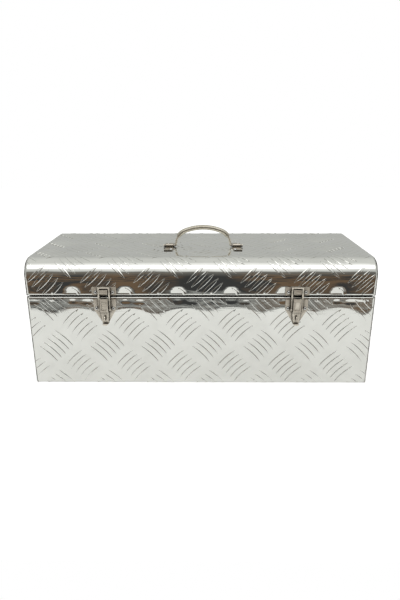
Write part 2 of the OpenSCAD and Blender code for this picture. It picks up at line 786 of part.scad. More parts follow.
body_shell();
mirror([1, 0, 0]) body_end();  // body_end_left
body_end();  // body_end_right
mirror([1, 0, 0]) body_weld();  // body_weld_left
body_weld();  // body_weld_right
rim_seal();
lid_shell();
mirror([1, 0, 0]) lid_end();  // lid_end_left
lid_end();  // lid_end_right
mirror([1, 0, 0]) lid_weld();  // lid_weld_left
lid_weld();  // lid_weld_right
hinge_leaf_body();
hinge_leaf_lid();
hinge_pin();
hinge_rivets(0, hinge_z - leaf_rivet_z);  // hinge_rivets_body
hinge_rivets(1, hinge_z + leaf_rivet_z);  // hinge_rivets_lid
at_latch(-1) latch_base();  // latch_base_left
at_latch(1) latch_base();  // latch_base_right
latch_rivets(-1, base_rivet_z);  // base_rivets_left
latch_rivets(1, base_rivet_z);  // base_rivets_right
at_latch(-1) latch_lever();  // latch_lever_left
at_latch(1) latch_lever();  // latch_lever_right
at_latch(-1) lever_pin();  // lever_pin_left
at_latch(1) lever_pin();  // lever_pin_right
at_latch(-1) draw_link();  // draw_link_left
at_latch(1) draw_link();  // draw_link_right
at_latch(-1) link_pin();  // link_pin_left
at_latch(1) link_pin();  // link_pin_right
at_latch(-1) keeper();  // keeper_left
at_latch(1) keeper();  // keeper_right
latch_rivets(-1, keeper_rivet_z);  // keeper_rivets_left
latch_rivets(1, keeper_rivet_z);  // keeper_rivets_right
handle_bail();
handle_grip();
handle_bracket(-1);  // handle_bracket_left
handle_bracket(1);  // handle_bracket_right
handle_rivets();
stay_arm();
stay_stud(stay_body_z);  // stay_stud_body
stay_stud(stay_lid_z);  // stay_stud_lid
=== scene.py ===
import json
import math

import bmesh
import bpy
import numpy as np
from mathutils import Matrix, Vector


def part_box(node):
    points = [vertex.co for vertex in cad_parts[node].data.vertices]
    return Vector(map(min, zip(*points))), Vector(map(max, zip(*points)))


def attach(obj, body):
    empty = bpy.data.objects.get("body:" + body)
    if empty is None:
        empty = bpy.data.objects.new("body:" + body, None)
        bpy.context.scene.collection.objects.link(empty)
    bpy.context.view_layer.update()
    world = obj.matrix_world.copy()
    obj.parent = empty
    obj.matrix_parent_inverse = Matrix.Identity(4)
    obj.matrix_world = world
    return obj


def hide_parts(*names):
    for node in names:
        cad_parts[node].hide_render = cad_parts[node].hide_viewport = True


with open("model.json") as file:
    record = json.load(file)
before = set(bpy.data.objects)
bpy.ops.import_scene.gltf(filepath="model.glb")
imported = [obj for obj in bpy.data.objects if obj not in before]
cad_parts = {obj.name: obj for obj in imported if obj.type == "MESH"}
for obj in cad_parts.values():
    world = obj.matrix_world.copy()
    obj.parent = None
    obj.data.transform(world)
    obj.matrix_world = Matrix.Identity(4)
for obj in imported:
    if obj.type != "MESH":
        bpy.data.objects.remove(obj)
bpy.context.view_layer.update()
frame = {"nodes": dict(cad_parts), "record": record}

# The pieces' lengths are millimetres, put in as metres. The stage, light and camera are in metres
mm = 0.001

# Sizes shared by several pieces, as in the CAD part but for the foot and the body's rim and rim fold
box = {
    "halfLength": 287.5,
    "halfDepth": 114.0,
    "height": 220.0,
    "foot": 1.0,  # underside of the body's sheet
    "rim": 158.4,
    "lidRim": 161.3,
    "sheet": 1.5,
    "bodyRimRadius": 1.6,
    "lidRimRadius": 2.5,
    "foldRadius": 4.0,
    "lidRadius": 30.0,
    "flange": 12.0,
    "bead": 3.0,  # room at each edge for the weld
}
wrapX = box["halfLength"] - box["bead"]


# Meshes

def gridQuads(rows, cols, loopRows=False, loopCols=False, flip=False):
    # Quad (i, j) joins the points (i, j), (i + 1, j), (i + 1, j + 1) and (i, j + 1)
    i = np.arange(rows if loopRows else rows - 1)[:, None]
    j = np.arange(cols if loopCols else cols - 1)[None, :]
    nextI, nextJ = (i + 1) % rows, (j + 1) % cols
    quads = np.stack([i * cols + j, nextI * cols + j, nextI * cols + nextJ, i * cols + nextJ], -1)
    quads = quads.reshape(-1, 4)
    return quads[:, ::-1] if flip else quads


def putMesh(name, points, faces, body, material, sharp=None):
    # Points in millimetres and rows of vertex numbers become one smooth shaded piece
    mesh = bpy.data.meshes.new(name)
    points = np.asarray(points, float).reshape(-1, 3) * mm
    mesh.from_pydata(points.tolist(), [], faces if isinstance(faces, list) else faces.tolist())
    mesh.update()
    mesh.polygons.foreach_set("use_smooth", np.ones(len(mesh.polygons), bool))
    if sharp is not None:
        mesh.set_sharp_from_angle(angle=math.radians(sharp))
    mesh.materials.append(material)
    piece = bpy.data.objects.new(name, mesh)
    bpy.context.scene.collection.objects.link(piece)
    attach(piece, body)
    return piece


def bentPath(corners, radii, step, arcSteps):
    # Straight runs joined by arcs of radius r, each tangent to both runs: an arc starts
    # r tan(turn / 2) before its corner. Gives distance along, points and left-hand normals
    corners = np.asarray(corners, float)
    points, normals = [], []
    start = corners[0]
    for i in range(1, len(corners)):
        run = corners[i] - corners[i - 1]
        ahead = run / np.hypot(*run)
        left = np.array([-ahead[1], ahead[0]])
        end = corners[i]
        if i < len(corners) - 1:
            after = corners[i + 1] - corners[i]
            after = after / np.hypot(*after)
            turn = math.atan2(ahead[0] * after[1] - ahead[1] * after[0], ahead @ after)
            end = corners[i] - ahead * radii[i] * math.tan(abs(turn) / 2)
        count = max(2, int(np.hypot(*(end - start)) / step) + 1)
        share = np.linspace(0, 1, count)[:, None]
        points.append(start + (end - start) * share)
        normals.append(np.repeat(left[None], count, 0))
        if i < len(corners) - 1:
            side = math.copysign(1, turn)
            centre = end + left * side * radii[i]
            angle = np.linspace(0, turn, arcSteps + 1)[1:-1, None]
            around = left * np.cos(angle) - ahead * np.sin(angle)
            points.append(centre - side * radii[i] * around)
            normals.append(around)
            start = centre - side * radii[i] * (left * math.cos(turn) - ahead * math.sin(turn))
    points, normals = np.concatenate(points), np.concatenate(normals)
    return {"s": distanceAlong(points), "p": points, "n": normals}


def distanceAlong(line):
    # Running sum of the lengths of the line's segments
    return np.concatenate([[0], np.cumsum(np.hypot(*np.diff(line, axis=0).T))])


def onPath(path, s):
    # Point and normal at distance s, linear between the path's points
    p = np.stack([np.interp(s, path["s"], path["p"][:, k]) for k in (0, 1)], -1)
    n = np.stack([np.interp(s, path["s"], path["n"][:, k]) for k in (0, 1)], -1)
    return p, n / np.linalg.norm(n, axis=-1, keepdims=True)


def sweepTube(path, sideA, sideB, radius, count, shape=None, loop=False):
    # Ring i stands at path point i: point = path + r (a cos(angle) + b sin(angle)), with r
    # given per ring and multiplied by shape(angle). An open tube gets two end faces
    angle = np.arange(count) * 2 * np.pi / count
    r = np.asarray(radius, float).reshape(-1, 1) * (1 if shape is None else shape(angle)[None])
    cos, sin = np.cos(angle)[None, :, None], np.sin(angle)[None, :, None]
    points = path[:, None] + r[..., None] * (sideA[:, None] * cos + sideB[:, None] * sin)
    faces = gridQuads(len(path), count, loop, True).tolist()
    last = (len(path) - 1) * count
    if not loop:
        faces += [list(range(count)), list(range(last, last + count))[::-1]]
    return points.reshape(-1, 3), faces


# Shader nodes

def addNode(tree, kind, links=None, **values):
    # One node with its settings; links maps input names or numbers to output sockets or values
    node = tree.nodes.new(kind)
    for key, value in values.items():
        setattr(node, key, value)
    for key, value in (links or {}).items():
        socket = node.inputs[key]
        if isinstance(value, bpy.types.NodeSocket):
            tree.links.new(value, socket)
        else:
            socket.default_value = value
    return node


def mathNode(tree, operation, a, b=0.0, clamp=False):
    node = addNode(tree, "ShaderNodeMath", {0: a, 1: b}, operation=operation, use_clamp=clamp)
    return node.outputs[0]


def noiseNode(tree, place, scale, detail, roughness=0.5):
    links = {"Vector": place, "Scale": scale, "Detail": detail, "Roughness": roughness}
    return addNode(tree, "ShaderNodeTexNoise", links).outputs["Fac"]


def rampNode(tree, value, low, high, curve="LINEAR"):
    # 0 where the value is low and 1 where it is high
    node = addNode(tree, "ShaderNodeMapRange", {0: value, 1: low, 2: high}, interpolation_type=curve)
    return node.outputs[0]


def mixNode(tree, share, first, second):
    # The first colour at share 0, the second at share 1
    links = {0: share, 6: first, 7: second}
    return addNode(tree, "ShaderNodeMix", links, data_type="RGBA").outputs[2]


# Finishes

# Noise scales, per metre, and how strongly the scratches show
wear = {
    "smudgeScale": 9.0,
    "spotScale": 60.0,
    "spotShare": 0.5,
    "grainScale": 420.0,
    "scratchScale": (14.0, 900.0, 900.0),
    "scratchRough": 0.15,
    "scratchDepth": -0.08,
    "bumpDistance": 0.0004,
}

# Sockets of the shared finish: name, kind and first value
wearInputs = (
    ("Colour", "NodeSocketColor", (0.8, 0.8, 0.8, 1)),
    ("Stain", "NodeSocketColor", (0.5, 0.5, 0.5, 1)),
    ("Stain Amount", "NodeSocketFloat", 0.2),
    ("Roughness", "NodeSocketFloat", 0.1),
    ("Roughness Drift", "NodeSocketFloat", 0.05),
    ("Scratches", "NodeSocketFloat", 0.2),
    ("Grain", "NodeSocketFloat", 0.05),
    ("Scale", "NodeSocketFloat", 1.0),
)
wearOutputs = (
    ("Colour", "NodeSocketColor"),
    ("Roughness", "NodeSocketFloat"),
    ("Normal", "NodeSocketVector"),
)


def makeWear():
    # Metal surface that drifts: broad smudges and small spots lead the colour towards the stain,
    # the smudges change the roughness, stretched noise gives scratches and fine noise the grain
    group = bpy.data.node_groups.new("metalFinish", "ShaderNodeTree")
    for name, kind, value in wearInputs:
        socket = group.interface.new_socket(name=name, in_out="INPUT", socket_type=kind)
        socket.default_value = value
    for name, kind in wearOutputs:
        group.interface.new_socket(name=name, in_out="OUTPUT", socket_type=kind)
    given = addNode(group, "NodeGroupInput").outputs
    place = addNode(group, "ShaderNodeTexCoord").outputs["Object"]
    place = addNode(group, "ShaderNodeVectorMath", {0: place, "Scale": given["Scale"]},
                    operation="SCALE").outputs[0]

    smudge = rampNode(group, noiseNode(group, place, wear["smudgeScale"], 4.0, 0.6), 0.35, 0.7)
    spots = rampNode(group, noiseNode(group, place, wear["spotScale"], 3.0), 0.45, 0.75)
    spots = mathNode(group, "MULTIPLY", spots, wear["spotShare"])
    dirt = mathNode(group, "MULTIPLY", mathNode(group, "ADD", smudge, spots), given["Stain Amount"], True)
    colour = mixNode(group, dirt, given["Colour"], given["Stain"])

    stretched = addNode(group, "ShaderNodeVectorMath", {0: place, 1: wear["scratchScale"]},
                        operation="MULTIPLY").outputs[0]
    lines = rampNode(group, noiseNode(group, stretched, 1.0, 2.0), 0.62, 0.72)
    scratchRough = mathNode(group, "MULTIPLY", given["Scratches"], wear["scratchRough"])
    scratchDepth = mathNode(group, "MULTIPLY", given["Scratches"], wear["scratchDepth"])

    rough = mathNode(group, "MULTIPLY", mathNode(group, "SUBTRACT", smudge, 0.5), given["Roughness Drift"])
    rough = mathNode(group, "ADD", rough, given["Roughness"])
    rough = mathNode(group, "ADD", rough, mathNode(group, "MULTIPLY", lines, scratchRough), True)

    grain = mathNode(group, "MULTIPLY", noiseNode(group, place, wear["grainScale"], 2.0), given["Grain"])
    height = mathNode(group, "ADD", grain, mathNode(group, "MULTIPLY", lines, scratchDepth))
    bump = {"Strength": 1.0, "Distance": wear["bumpDistance"], "Height": height}
    normal = addNode(group, "ShaderNodeBump", bump).outputs[0]
    addNode(group, "NodeGroupOutput", {"Colour": colour, "Roughness": rough, "Normal": normal})
    return group


# `metallic` is 1 where it isn't given. Painted shade darkens the colour within `corners` metres of an inside
# corner
finishes = {
    "brightSheet": {"Colour": (0.895, 0.90, 0.865, 1), "Stain": (0.74, 0.745, 0.71, 1), "Stain Amount": 0.45,
                    "Roughness": 0.036, "Roughness Drift": 0.024, "Scratches": 0.12, "Grain": 0.012},
    "innerSheet": {"Colour": (0.74, 0.745, 0.73, 1), "Stain": (0.6, 0.6, 0.58, 1), "Stain Amount": 0.5,
                   "Roughness": 0.34, "Roughness Drift": 0.12, "Scratches": 1.0, "Grain": 0.12},
    "weldMetal": {"Colour": (0.62, 0.61, 0.58, 1), "Stain": (0.06, 0.055, 0.05, 1), "Stain Amount": 0.95,
                  "Roughness": 0.34, "Roughness Drift": 0.2, "Scratches": 0.2, "Grain": 0.6, "Scale": 5.0},
    "rivetMetal": {"Colour": (0.88, 0.88, 0.86, 1), "Stain": (0.5, 0.5, 0.48, 1), "Stain Amount": 0.3,
                   "Roughness": 0.2, "Roughness Drift": 0.1, "Scratches": 0.3, "Grain": 0.1, "Scale": 3.0,
                   "corners": 0.002},
    "nickel": {"Colour": (0.96, 0.90, 0.79, 1), "Stain": (0.66, 0.59, 0.48, 1), "Stain Amount": 0.35,
               "Roughness": 0.3, "Roughness Drift": 0.12, "Scratches": 0.3, "Grain": 0.05, "Scale": 2.0,
               "metallic": 0.72, "corners": 0.006},
    "saddleNickel": {"Colour": (0.60, 0.555, 0.48, 1), "Stain": (0.30, 0.26, 0.20, 1), "Stain Amount": 0.5,
                     "Roughness": 0.2, "Roughness Drift": 0.1, "Scratches": 0.4, "Grain": 0.06, "Scale": 2.0,
                     "corners": 0.002},
    "zincSteel": {"Colour": (0.70, 0.715, 0.72, 1), "Stain": (0.5, 0.5, 0.49, 1), "Stain Amount": 0.55,
                  "Roughness": 0.3, "Roughness Drift": 0.14, "Scratches": 0.5, "Grain": 0.12, "Scale": 2.0},
    "gripMetal": {"Colour": (0.66, 0.62, 0.53, 1), "Stain": (0.40, 0.36, 0.28, 1), "Stain Amount": 0.4,
                  "Roughness": 0.42, "Roughness Drift": 0.08, "Scratches": 0.3, "Grain": 0.03, "Scale": 2.0},
    "rubber": {"Colour": (0.008, 0.008, 0.008, 1), "Stain": (0.03, 0.029, 0.027, 1), "Stain Amount": 0.5,
               "Roughness": 0.7, "Roughness Drift": 0.2, "Scratches": 0.2, "Grain": 0.4, "Scale": 2.0,
               "metallic": 0.0},
}
# Painted shade: the dark colour mixed into corners and gaps, and the range of the ambient occlusion that
# places it
paintedCornerShade = {"colour": (0.045, 0.034, 0.024, 1), "tight": 0.55, "open": 0.97, "samples": 8}


def makeMetal(name, group, metallic=1.0, corners=0.0, **values):
    # Principled surface fed by the shared finish. Where `corners` is given, painted shade darkens the colour
    # near inside corners
    material = bpy.data.materials.new(name)
    material.use_nodes = True
    tree = material.node_tree
    shader = tree.nodes["Principled BSDF"]
    shader.inputs["Metallic"].default_value = metallic
    worn = addNode(tree, "ShaderNodeGroup", node_tree=group)
    for key, value in values.items():
        worn.inputs[key].default_value = value
    colour = worn.outputs["Colour"]
    # Painted shade: ambient occlusion within `corners` metres mixes the dark colour into the base colour
    if corners:
        openness = addNode(tree, "ShaderNodeAmbientOcclusion", {"Distance": corners},
                           samples=paintedCornerShade["samples"]).outputs["AO"]
        openness = rampNode(tree, openness, paintedCornerShade["tight"], paintedCornerShade["open"])
        colour = mixNode(tree, openness, paintedCornerShade["colour"], colour)
    tree.links.new(colour, shader.inputs["Base Color"])
    tree.links.new(worn.outputs["Roughness"], shader.inputs["Roughness"])
    tree.links.new(worn.outputs["Normal"], shader.inputs["Normal"])
    return material


wearGroup = makeWear()
metals = {name: makeMetal(name, wearGroup, **values) for name, values in finishes.items()}
print("finishes made")


# Bent sheets

# Waves that rolling and pressing leave in the sheet, where the groups of bars lie in shallow dents.
# The slow waves' radians per millimetre in x and s and their phase are drawn between `low` and `high`.
# `lip` is the width of a dish on its rim side
waves = {
    "pitchX": 87.0,
    "pitchS": 75.0,
    "dent": 0.13,
    "drift": 0.05,
    "count": 4,
    "low": (0.012, 0.012, 0),
    "high": (0.05, 0.06, 6.28),
    "seed": 7,
    "lip": 2.5,
}

# `rimRows` adds rows beside the rim. The waves fade out at the rims and ends and on the body's bottom
sheets = {
    "columns": 241,
    "rimRows": (14, 34, 1.2),
    "rimFlat": 13,
    "rimEase": 8,
    "endEase": 12,
    "calmEase": 20,
    "calmShare": 0.9,
}


def fromMark(x, x0):
    # Signed distance in x to the nearest of the marks that repeat every pitchX
    return (x - x0 + waves["pitchX"] / 2) % waves["pitchX"] - waves["pitchX"] / 2


def sheetWave(x, s, phaseX, phaseS, fade=1.0, dents=(), dishes=()):
    # Height = -dent cos(2 pi x / pitchX) cos(2 pi s / pitchS), plus four slow random waves, times the
    # fade at edges; less depth exp(-(dx / wideX)^2 - (ds / wideS)^2) at each dent, and less
    # depth (1 - (dx / wideX)^4 - ds / wideS), where above 0, at each dish pressed in beside a rim
    kx, ks = 2 * np.pi / waves["pitchX"], 2 * np.pi / waves["pitchS"]
    h = -waves["dent"] * np.cos(kx * (x - phaseX)) * np.cos(ks * (s - phaseS))
    chance = np.random.default_rng(waves["seed"])
    for fx, fs, phase in chance.uniform(waves["low"], waves["high"], (waves["count"], 3)):
        h = h + waves["drift"] * np.cos(fx * x + fs * s + phase)
    h = h * fade
    for x0, s0, wideX, wideS, depth in dents:
        h = h - depth * np.exp(-(fromMark(x, x0) / wideX) ** 2 - ((s - s0) / wideS) ** 2)
    for x0, s0, wideX, wideS, depth in dishes:
        away = np.where(s > s0, (s - s0) / wideS, (s0 - s) / waves["lip"])
        h = h - depth * np.clip(1 - (fromMark(x, x0) / wideX) ** 4 - away, 0, None)
    return h


def easeIn(d, length):
    # Smooth step from 0 at d = 0 to 1 at d = length
    t = np.clip(d / length, 0, 1)
    return t * t * (3 - 2 * t)


def sheetSurface(spec, x, s, height=0.0):
    # Point of a bent sheet at length x and distance s round its path, raised by the waves and height
    p, n = onPath(spec["fine"], s)
    fromRim = np.minimum(s, spec["total"] - s)
    rimFade = easeIn(fromRim - sheets["rimFlat"], sheets["rimEase"])
    endFade = easeIn(wrapX - np.abs(x), sheets["endEase"])
    low, high = spec["calm"]
    calm = easeIn(s - low, sheets["calmEase"]) * easeIn(high - s, sheets["calmEase"])
    fade = rimFade * endFade * (1 - sheets["calmShare"] * calm)
    h = sheetWave(x, s, spec["phaseX"], spec["phaseS"], fade, spec["dents"], spec["dishes"]) + height
    return np.stack([x + 0 * h, p[..., 0] + n[..., 0] * h, p[..., 1] + n[..., 1] * h], -1)


def mitre(spec, s):
    # Half length of the sheet at s: the rim flanges are cut off at 45 degrees
    into = box["flange"] - spec["rimRadius"] - np.minimum(s, spec["total"] - s)
    return wrapX - np.clip(into, 0, None)


def thicken(piece):
    # The sheet's thickness, inwards, with the duller finish inside
    piece.data.materials.append(metals["innerSheet"])
    solid = piece.modifiers.new("thickness", "SOLIDIFY")
    solid.thickness = box["sheet"] * mm
    solid.offset = -1
    solid.material_offset = 1
    solid.material_offset_rim = 1


def makeSheet(name, spec, node, body, flip):
    # Grid over length and path, made solid inwards by the sheet's thickness
    s = np.union1d(spec["coarse"]["s"], np.arange(*sheets["rimRows"]))
    u = np.linspace(-1, 1, sheets["columns"])
    x = u[None, :] * mitre(spec, s)[:, None]
    points = sheetSurface(spec, x, np.repeat(s[:, None], len(u), 1))
    faces = gridQuads(len(s), len(u), flip=flip)
    piece = putMesh(name, points, faces, body, metals["brightSheet"])
    thicken(piece)
    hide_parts(node)


def sheetPath(rimZ, farZ, rimRadius, frontRadius, backRadius):
    # Path in Y and Z from the front flange's free edge, round the sheet, to the back flange's
    hd, fl = box["halfDepth"], box["flange"]
    corners = [(fl - hd, rimZ), (-hd, rimZ), (-hd, farZ), (hd, farZ), (hd, rimZ), (hd - fl, rimZ)]
    radii = [0, rimRadius, frontRadius, backRadius, rimRadius, 0]
    fine = bentPath(corners, radii, 1.0, 20)
    return {"coarse": bentPath(corners, radii, 5.0, 6), "fine": fine, "total": fine["s"][-1]}


# Dents and dishes are x, s, half width in x, half width in s, and depth. Calm is the range of s of the
# body's bottom
bodySpec = sheetPath(box["rim"], box["foot"], box["bodyRimRadius"], box["foldRadius"], box["foldRadius"])
bodySpec.update(calm=(152, 412), phaseX=-28.9, phaseS=61.4, rimRadius=box["bodyRimRadius"], dishes=[],
                dents=[(-37.0, 18.6, 7.5, 3.6, 0.22), (-14.5, 19.8, 10.0, 4.0, 0.24)])
lidSpec = sheetPath(box["lidRim"], box["height"], box["lidRimRadius"], box["lidRadius"], box["foldRadius"])
lidSpec.update(calm=(0, 0), phaseX=7.0, phaseS=32.6, rimRadius=box["lidRimRadius"], dents=[],
               dishes=[(50.5, 13.6, 13.0, 13.0, 0.98)])
# The body's path turns the other way round from the lid's, so its normals are turned over
for path in (bodySpec["coarse"], bodySpec["fine"]):
    path["n"] = -path["n"]
makeSheet("bodySheet", bodySpec, "body_shell", "box", False)
makeSheet("lidSheet", lidSpec, "lid_shell", "lid", True)
print("bent sheets made")


# End panels

# The panels' edges tuck under the welds. Their waves grow to full height within `rimEase` of the fold
ends = {"face": 286.3, "tuck": 1.0, "columns": 61, "rows": 34, "rimEase": 8, "phaseX": 12.0, "phaseS": 68.0}


def endSurface(side, y, z, height=0.0):
    # Point of an end panel's face, raised by the same kind of waves as the sheets
    h = sheetWave(y, z, ends["phaseX"], ends["phaseS"]) + height
    return np.stack([side * (ends["face"] + h), y, z + 0 * h], -1)


def makeEnd(name, side, rim, rimRadius, turn, farEdge, node, body):
    # Rows run from the rim flange's free edge over the fold and along the face to farEdge(y).
    # The flange is cut off at 45 degrees: half width = full width less the way into the flange.
    # The face's waves grow from nothing at the fold
    half = box["halfDepth"] - box["bead"] + ends["tuck"]
    fold = bentPath([(box["flange"], 0), (0, 0), (0, 8)], [0, rimRadius, 0], 4.0, 5)["p"]
    inward, down = fold[fold[:, 1] <= rimRadius + 0.01].T
    v = np.linspace(-1, 1, ends["columns"])
    y = v[None, :] * (half - np.clip(inward - rimRadius, 0, None))[:, None]
    foldX = side * (ends["face"] - inward[:, None] + 0 * y)
    foldPart = np.stack([foldX, y, rim + turn * down[:, None] + 0 * y], -1)

    share = np.linspace(0, 1, ends["rows"])[1:, None]
    y = v * half + 0 * share
    start = rim + turn * rimRadius
    z = start + (farEdge(y) - start) * share
    facePart = endSurface(side, y, z)
    wave = np.abs(facePart[..., 0]) - ends["face"]
    facePart[..., 0] = side * (ends["face"] + wave * easeIn(np.abs(z - start), ends["rimEase"]))

    points = np.concatenate([foldPart, facePart])
    faces = gridQuads(len(points), len(v), flip=side * turn > 0)
    piece = putMesh(name, points, faces, body, metals["brightSheet"])
    thicken(piece)
    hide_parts(node)


def bodyFoot(y):
    # Lower edge of a body end
    return box["bead"] - ends["tuck"] + 0 * y


def lidTop(y):
    # Upper edge of a lid end: level, then the lid's front bend as a circle round its centre
    r = box["lidRadius"] - box["bead"] + ends["tuck"]
    bend = np.clip(box["lidRadius"] - box["halfDepth"] - y, 0, r)
    return box["height"] - box["lidRadius"] + np.sqrt(r * r - bend * bend)


sides = ((-1, "left"), (1, "right"))
for side, tag in sides:
    bodyNode, lidNode = "body_end_" + tag, "lid_end_" + tag
    makeEnd("bodyEnd_" + tag, side, box["rim"], box["bodyRimRadius"], -1, bodyFoot, bodyNode, "box")
    makeEnd("lidEnd_" + tag, side, box["lidRim"], box["lidRimRadius"], 1, lidTop, lidNode, "lid")
print("end panels made")


# Raised bars

# `step` is the distance between a group's bars, and `seat` sinks a bar's foot into the sheet. The gaps
# keep the bars off the rims, welds and edges. The peens are the handle's rod ends, which the lid's bars
# leave room for
bars = {
    "length": 42.0,
    "width": 6.0,
    "height": 0.76,
    "step": 10.3,
    "seat": 0.04,
    "rimGap": 13.0,
    "weldGap": 2.2,
    "endGap": 5.5,
    "endRimGap": 4.0,
    "endTopGap": 4.5,
    "peenX": (-66.0, 74.0),
    "peenHalf": 3.5,
    "peenS": (141.0, 151.0),
}

# Stations along a bar from end to end, and its cross-section: place across and share of the height
barStations = np.array([0, 0.015, 0.06, 0.17, 0.33, 0.5, 0.67, 0.83, 0.94, 0.985, 1])
barAcross = np.array([-1, -0.93, -0.77, -0.66, 0.66, 0.77, 0.93, 1])
barRise = np.array([0, 0.67, 0.9, 1, 1, 0.9, 0.67, 0])


def barCentres(phaseX, phaseS, halfX, highS, mirror=1):
    # Groups of five stand at phase + (i pitchX, j pitchS), and the groups that lean the other
    # way half a pitch on; bar k of a group is k steps away, square to the bars. The body's
    # path runs downwards, so there the leans are mirrored
    pitchX, pitchS = waves["pitchX"], waves["pitchS"]
    rows = []
    for lean, shift in ((mirror, 0.0), (-mirror, 0.5)):
        i = np.arange(math.floor((-halfX - phaseX) / pitchX) - 1, (halfX - phaseX) / pitchX + 1)
        j = np.arange(math.floor(-phaseS / pitchS) - 1, (highS - phaseS) / pitchS + 1)
        i, j, k = (g.ravel() for g in np.meshgrid(i + shift, j + shift, np.arange(-2, 3)))
        away = k * bars["step"] / math.sqrt(2)
        x, s = phaseX + i * pitchX + away, phaseS + j * pitchS - lean * away
        rows.append(np.stack([x, s, lean * math.pi / 4 + 0 * away], -1))
    return np.concatenate(rows)


def trimBars(x, s, lean, inside):
    # Tries 81 places along each bar. Gives the bars with over 16 steps inside, and the two ends of
    # the run that holds the place nearest to the middle
    tries = 81
    reach = np.linspace(-1, 1, tries)
    half = bars["length"] / 2
    good = inside(x + reach * half * np.cos(lean), s + reach * half * np.sin(lean))
    middle = np.argmin(np.abs(reach) + 9 * ~good, 1)[:, None]
    index = np.arange(tries)[None, :]
    low = np.max(np.where(~good & (index < middle), index + 1, 0), 1)
    high = np.min(np.where(~good & (index > middle), index - 1, tries - 1), 1)
    keep = (high - low > 16) & good.any(1)
    return keep, reach[low[keep]], reach[high[keep]]


def makeBars(name, centres, inside, surface, body, flip):
    # A bar at (a, b), both -1 to 1, has half width w = width / 2 (0.03 + 0.97 (1 - |a|^2.2)^0.9)
    # and height H (1 - |a|^40) rise(b), steep at the foot and flat on top. Where the sheet ends,
    # its range of a is cut short
    x, s, lean = (c[:, None] for c in centres.T)
    keep, low, high = trimBars(x, s, lean, inside)
    x, s, lean = (c[keep, None] for c in (x, s, lean))
    low, high = low[:, None, None], high[:, None, None]
    share = barStations[None, :, None]
    a = low + (high - low) * share
    b = barAcross[None, None, :]
    w = bars["width"] / 2 * (0.03 + 0.97 * (1 - np.abs(a) ** 2.2) ** 0.9)
    rise = barRise[None, None, :] * ((share > 0) & (share < 1))
    h = bars["height"] * (1 - np.abs(a) ** 40) * rise - bars["seat"]
    along = a * bars["length"] / 2
    points = surface(x + along * np.cos(lean) - b * w * np.sin(lean),
                     s + along * np.sin(lean) + b * w * np.cos(lean), h)
    size = barStations.size * barAcross.size
    quads = gridQuads(barStations.size, barAcross.size, flip=flip)
    faces = (quads[None] + (np.arange(len(x)) * size)[:, None, None]).reshape(-1, 4)
    putMesh(name, points, faces, body, metals["brightSheet"], sharp=12)
    print(name, len(x), "bars", 2 * len(faces), "triangles")


def insideSheet(spec, cuts=()):
    # True where a bar may lie: clear of the rim flanges, the end welds and the given rectangles
    def inside(x, s):
        good = np.abs(x) < wrapX - bars["weldGap"]
        good &= (s > bars["rimGap"]) & (s < spec["total"] - bars["rimGap"])
        for x0, x1, s0, s1 in cuts:
            good &= ~((x > x0) & (x < x1) & (s > s0) & (s < s1))
        return good
    return inside


peens = [(x - bars["peenHalf"], x + bars["peenHalf"], *bars["peenS"]) for x in bars["peenX"]]
bodyCentres = barCentres(bodySpec["phaseX"], bodySpec["phaseS"], wrapX, bodySpec["total"], -1)
lidCentres = barCentres(lidSpec["phaseX"], lidSpec["phaseS"], wrapX, lidSpec["total"])
makeBars("bodyBars", bodyCentres, insideSheet(bodySpec),
         lambda x, s, h: sheetSurface(bodySpec, x, s, h), "box", True)
makeBars("lidBars", lidCentres, insideSheet(lidSpec, peens),
         lambda x, s, h: sheetSurface(lidSpec, x, s, h), "lid", False)

endReach = box["halfDepth"] - bars["endGap"]
endCentres = barCentres(ends["phaseX"], ends["phaseS"], endReach, box["height"])


def insideBodyEnd(y, z):
    return (np.abs(y) < endReach) & (z > bars["endGap"]) & (z < box["rim"] - bars["endRimGap"])


def insideLidEnd(y, z):
    low, high = box["lidRim"] + bars["endRimGap"], lidTop(y) - bars["endTopGap"]
    return (np.abs(y) < endReach) & (z > low) & (z < high)


for side, tag in sides:
    makeBars("bodyEndBars_" + tag, endCentres, insideBodyEnd,
             lambda y, z, h: endSurface(side, y, z, h), "box", side < 0)
    makeBars("lidEndBars_" + tag, endCentres, insideLidEnd,
             lambda y, z, h: endSurface(side, y, z, h), "lid", side < 0)
print("raised bars made")


# Weld beads

# `step` and `drift` are the distance between rings and the most that the radius shrinks by, and the
# shrinking is drawn at `driftMarks` places. The ends are the beads' heights at the seam
beads = {
    "radius": 2.98,
    "ripple": 2.6,
    "step": 0.65,
    "around": 12,
    "drift": 0.1,
    "driftMarks": 140,
    "bodyEnd": 158.9,
    "lidEnd": 161.0,
}


def beadShape(angle):
    # Share of the radius round the bead: full outside, less on the face, least inside the box
    return np.where(angle < 1.6, 1.0, np.where((angle < 2.2) | (angle > 5.7), 0.8, 0.5))


def makeBead(name, side, corners, radii, turn, node, body):
    # Bead swept round the end: r = radius (0.85 + 0.15 |sin(pi t / ripple)|^0.5) (1 - drift)
    path = bentPath(corners, radii, beads["step"], 14)
    t = path["s"]
    chance = np.random.default_rng(len(t))
    marks = beads["driftMarks"]
    drift = np.interp(t, np.linspace(0, t[-1], marks), chance.uniform(0, beads["drift"], marks))
    ripple = 0.85 + 0.15 * np.abs(np.sin(np.pi * t / beads["ripple"])) ** 0.5
    centre = np.column_stack([np.full(len(t), side * wrapX), path["p"]])
    outward = np.column_stack([0 * t, turn * path["n"]])
    along = np.column_stack([np.full(len(t), float(side)), 0 * t, 0 * t])
    radius = beads["radius"] * ripple * (1 - drift)
    points, faces = sweepTube(centre, outward, along, radius, beads["around"], beadShape)
    if side * turn < 0:
        faces = [face[::-1] for face in faces]
    piece = putMesh(name, points, faces, body, metals["weldMetal"])
    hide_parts(node)


def beadCorners(endZ, farZ):
    # Path in Y and Z from the seam along the front edge, the bottom or top edge and the back edge
    y = box["halfDepth"] - box["bead"]
    return [(-y, endZ), (-y, farZ), (y, farZ), (y, endZ)]


